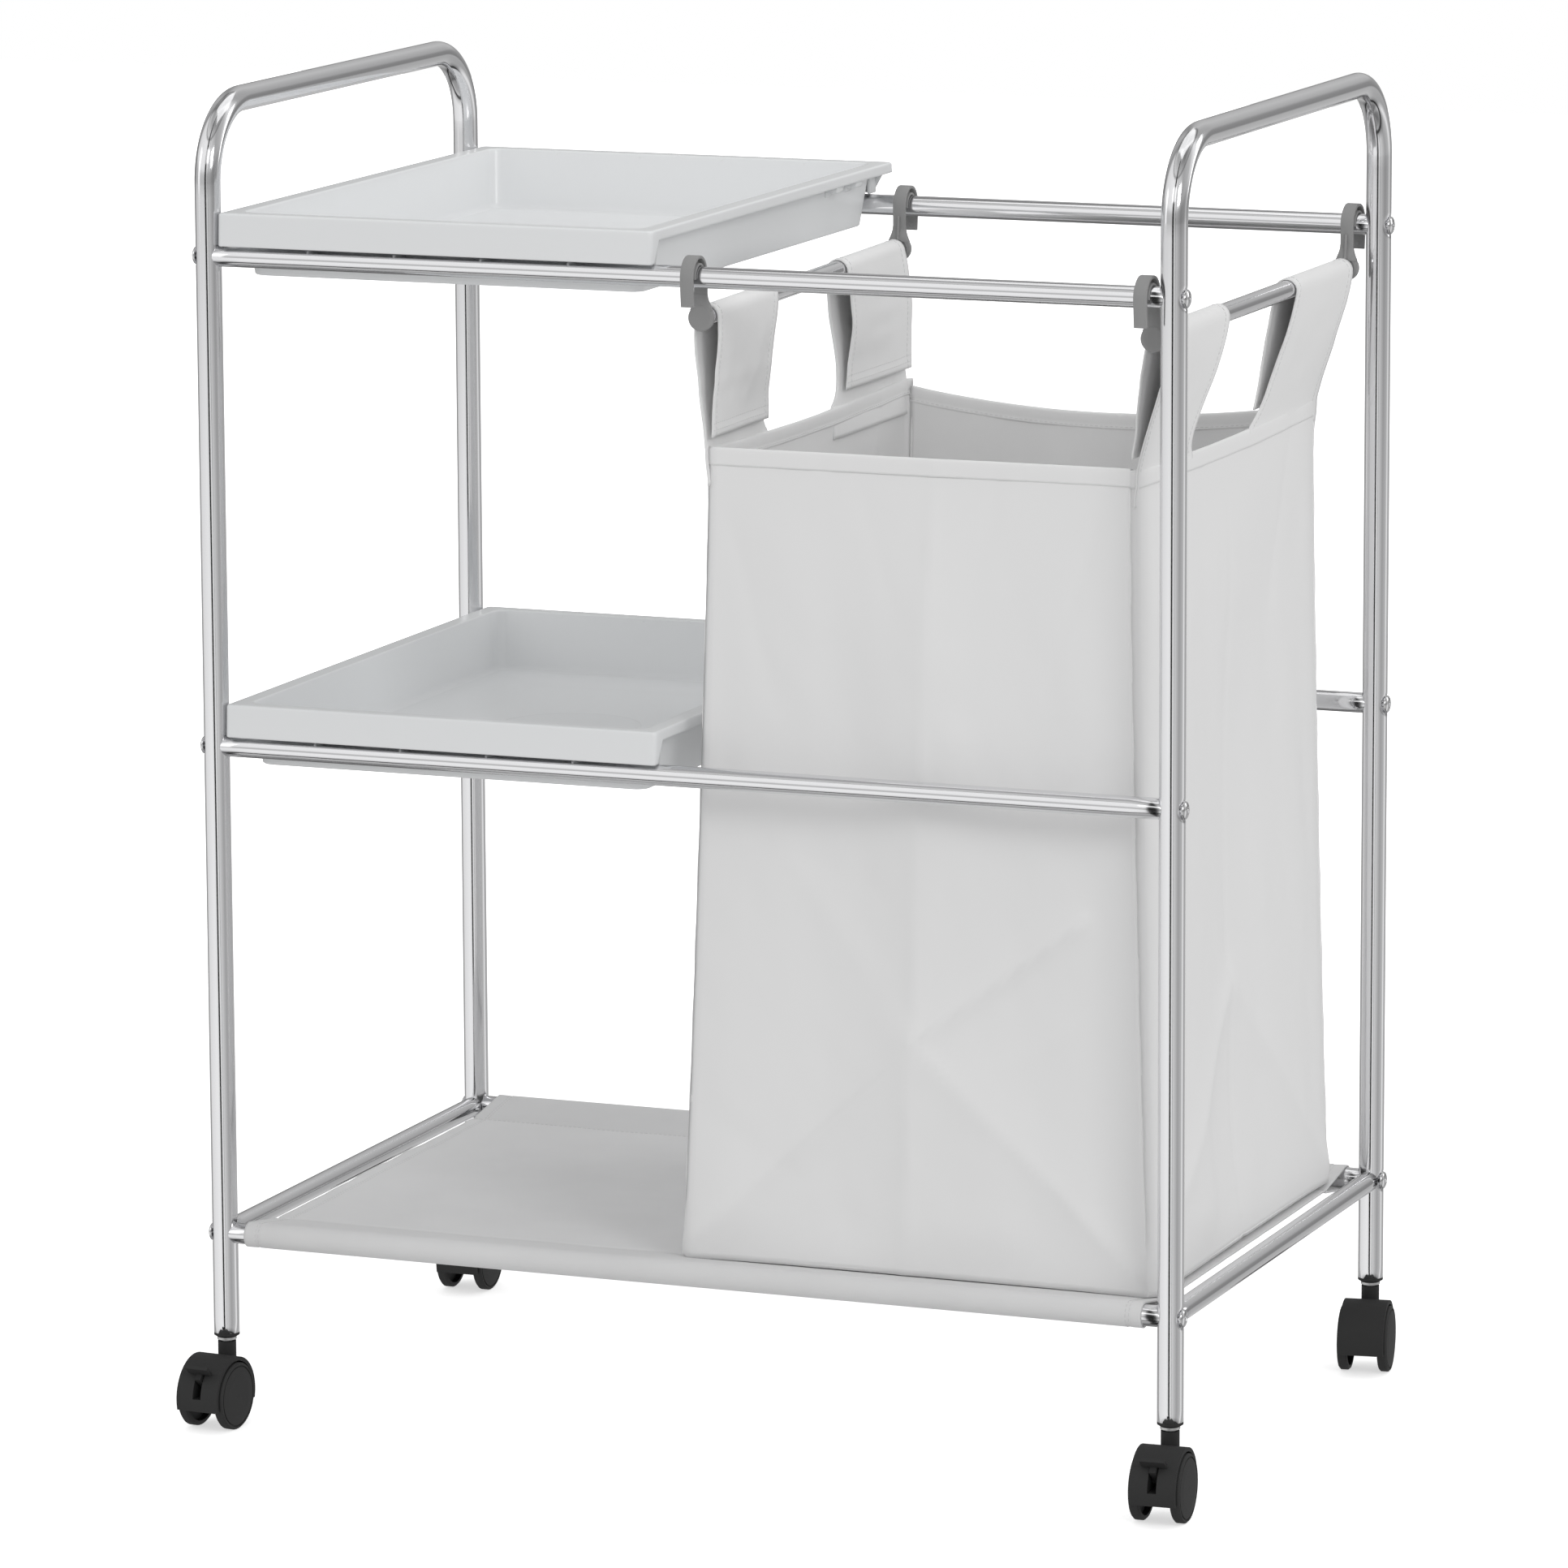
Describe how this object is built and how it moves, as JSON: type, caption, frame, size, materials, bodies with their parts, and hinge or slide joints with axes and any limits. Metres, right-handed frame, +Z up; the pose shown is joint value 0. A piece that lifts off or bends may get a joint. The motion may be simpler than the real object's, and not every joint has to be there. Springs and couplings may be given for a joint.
{
  "type": "laundry sorter cart",
  "caption": "Wheeled tube cart with two lift-off trays on one side, a hanging cloth hamper bag on the other and a cloth shelf below",
  "frame": {"origin": "on the floor, midway between the four posts", "axes": "+X along the long side, from the trays to the bag; +Y to the rear; +Z up"},
  "size_m": [0.7882, 0.5261, 0.99],
  "materials": {
    "chrome_tube": "bright plated",
    "screw_steel": "bright plated",
    "plated_steel": "zinc plated",
    "white_cloth": "plain weave, matte",
    "white_plastic": "satin moulded",
    "grey_plastic": "satin moulded",
    "caster_black": "satin moulded",
    "wheel_black": "satin moulded"
  },
  "bodies": {
    "frame": {"left_side_frame": "chrome_tube", "right_side_frame": "chrome_tube", "left_bottom_side_rail": "chrome_tube", "right_bottom_side_rail": "chrome_tube", "top_front_rail": "chrome_tube", "top_rear_rail": "chrome_tube", "middle_front_rail": "chrome_tube", "middle_rear_rail": "chrome_tube", "bottom_front_rail": "chrome_tube", "bottom_rear_rail": "chrome_tube", "frame_screws": "screw_steel", "rail_end_inserts": "plated_steel", "post_end_plugs": "caster_black", "shelf_fabric": "white_cloth", "front_left_caster_stem": "plated_steel", "front_right_caster_stem": "plated_steel", "rear_left_caster_stem": "plated_steel", "rear_right_caster_stem": "plated_steel"},
    "upper_tray": {"upper_tray": "white_plastic"},
    "lower_tray": {"lower_tray": "white_plastic"},
    "hamper": {"left_hanger_rod": "chrome_tube", "right_hanger_rod": "chrome_tube", "left_front_hook": "grey_plastic", "left_rear_hook": "grey_plastic", "right_front_hook": "grey_plastic", "right_rear_hook": "grey_plastic", "bag_body": "white_cloth", "left_front_strap": "white_cloth", "left_rear_strap": "white_cloth", "right_front_strap": "white_cloth", "right_rear_strap": "white_cloth"},
    "front_left_caster": {"front_left_caster_hood": "caster_black", "front_left_caster_axle": "plated_steel"},
    "front_left_caster_left_wheel": {"front_left_caster_left_wheel": "wheel_black"},
    "front_left_caster_right_wheel": {"front_left_caster_right_wheel": "wheel_black"},
    "front_left_brake_lever": {"front_left_brake_lever": "caster_black"},
    "front_right_caster": {"front_right_caster_hood": "caster_black", "front_right_caster_axle": "plated_steel"},
    "front_right_caster_left_wheel": {"front_right_caster_left_wheel": "wheel_black"},
    "front_right_caster_right_wheel": {"front_right_caster_right_wheel": "wheel_black"},
    "front_right_brake_lever": {"front_right_brake_lever": "caster_black"},
    "rear_left_caster": {"rear_left_caster_hood": "caster_black", "rear_left_caster_axle": "plated_steel"},
    "rear_left_caster_left_wheel": {"rear_left_caster_left_wheel": "wheel_black"},
    "rear_left_caster_right_wheel": {"rear_left_caster_right_wheel": "wheel_black"},
    "rear_right_caster": {"rear_right_caster_hood": "caster_black", "rear_right_caster_axle": "plated_steel"},
    "rear_right_caster_left_wheel": {"rear_right_caster_left_wheel": "wheel_black"},
    "rear_right_caster_right_wheel": {"rear_right_caster_right_wheel": "wheel_black"}
  },
  "joints": [
    {"name": "upper_tray_lift", "type": "slide", "parent": "frame", "child": "upper_tray", "axis": [0, 0, 1], "range_m": [0, 0.2]},
    {"name": "lower_tray_lift", "type": "slide", "parent": "frame", "child": "lower_tray", "axis": [0, 0, 1], "range_m": [0, 0.25]},
    {"name": "hamper_lift", "type": "slide", "parent": "frame", "child": "hamper", "axis": [0, 0, 1], "range_m": [0, 0.75]},
    {"name": "front_left_caster_swivel", "type": "hinge", "parent": "frame", "child": "front_left_caster", "pos_m": [-0.3705, -0.231, 0.063], "axis": [0, 0, 1], "continuous": true},
    {"name": "front_left_caster_left_wheel_spin", "type": "hinge", "parent": "front_left_caster", "child": "front_left_caster_left_wheel", "pos_m": [-0.37176, -0.24896, 0.025], "axis": [0.9976, -0.0698, 0], "continuous": true},
    {"name": "front_left_caster_right_wheel_spin", "type": "hinge", "parent": "front_left_caster", "child": "front_left_caster_right_wheel", "pos_m": [-0.37176, -0.24896, 0.025], "axis": [0.9976, -0.0698, 0], "continuous": true},
    {"name": "front_left_brake_lever_press", "type": "hinge", "parent": "front_left_caster", "child": "front_left_brake_lever", "pos_m": [-0.37266, -0.26192, 0.034], "axis": [0.9976, -0.0698, 0], "range_deg": [0, 16]},
    {"name": "front_right_caster_swivel", "type": "hinge", "parent": "frame", "child": "front_right_caster", "pos_m": [0.3705, -0.231, 0.063], "axis": [0, 0, 1], "continuous": true},
    {"name": "front_right_caster_left_wheel_spin", "type": "hinge", "parent": "front_right_caster", "child": "front_right_caster_left_wheel", "pos_m": [0.37144, -0.24898, 0.025], "axis": [0.9986, 0.0523, 0], "continuous": true},
    {"name": "front_right_caster_right_wheel_spin", "type": "hinge", "parent": "front_right_caster", "child": "front_right_caster_right_wheel", "pos_m": [0.37144, -0.24898, 0.025], "axis": [0.9986, 0.0523, 0], "continuous": true},
    {"name": "front_right_brake_lever_press", "type": "hinge", "parent": "front_right_caster", "child": "front_right_brake_lever", "pos_m": [0.37212, -0.26196, 0.034], "axis": [0.9986, 0.0523, 0], "range_deg": [0, 16]},
    {"name": "rear_left_caster_swivel", "type": "hinge", "parent": "frame", "child": "rear_left_caster", "pos_m": [-0.3705, 0.231, 0.063], "axis": [0, 0, 1], "continuous": true},
    {"name": "rear_left_caster_left_wheel_spin", "type": "hinge", "parent": "rear_left_caster", "child": "rear_left_caster_left_wheel", "pos_m": [-0.36987, 0.21301, 0.025], "axis": [0.9994, 0.0349, 0], "continuous": true},
    {"name": "rear_left_caster_right_wheel_spin", "type": "hinge", "parent": "rear_left_caster", "child": "rear_left_caster_right_wheel", "pos_m": [-0.36987, 0.21301, 0.025], "axis": [0.9994, 0.0349, 0], "continuous": true},
    {"name": "rear_right_caster_swivel", "type": "hinge", "parent": "frame", "child": "rear_right_caster", "pos_m": [0.3705, 0.231, 0.063], "axis": [0, 0, 1], "continuous": true},
    {"name": "rear_right_caster_left_wheel_spin", "type": "hinge", "parent": "rear_right_caster", "child": "rear_right_caster_left_wheel", "pos_m": [0.37332, 0.21322, 0.025], "axis": [0.9877, 0.1564, 0], "continuous": true},
    {"name": "rear_right_caster_right_wheel_spin", "type": "hinge", "parent": "rear_right_caster", "child": "rear_right_caster_right_wheel", "pos_m": [0.37332, 0.21322, 0.025], "axis": [0.9877, 0.1564, 0], "continuous": true}
  ]
}
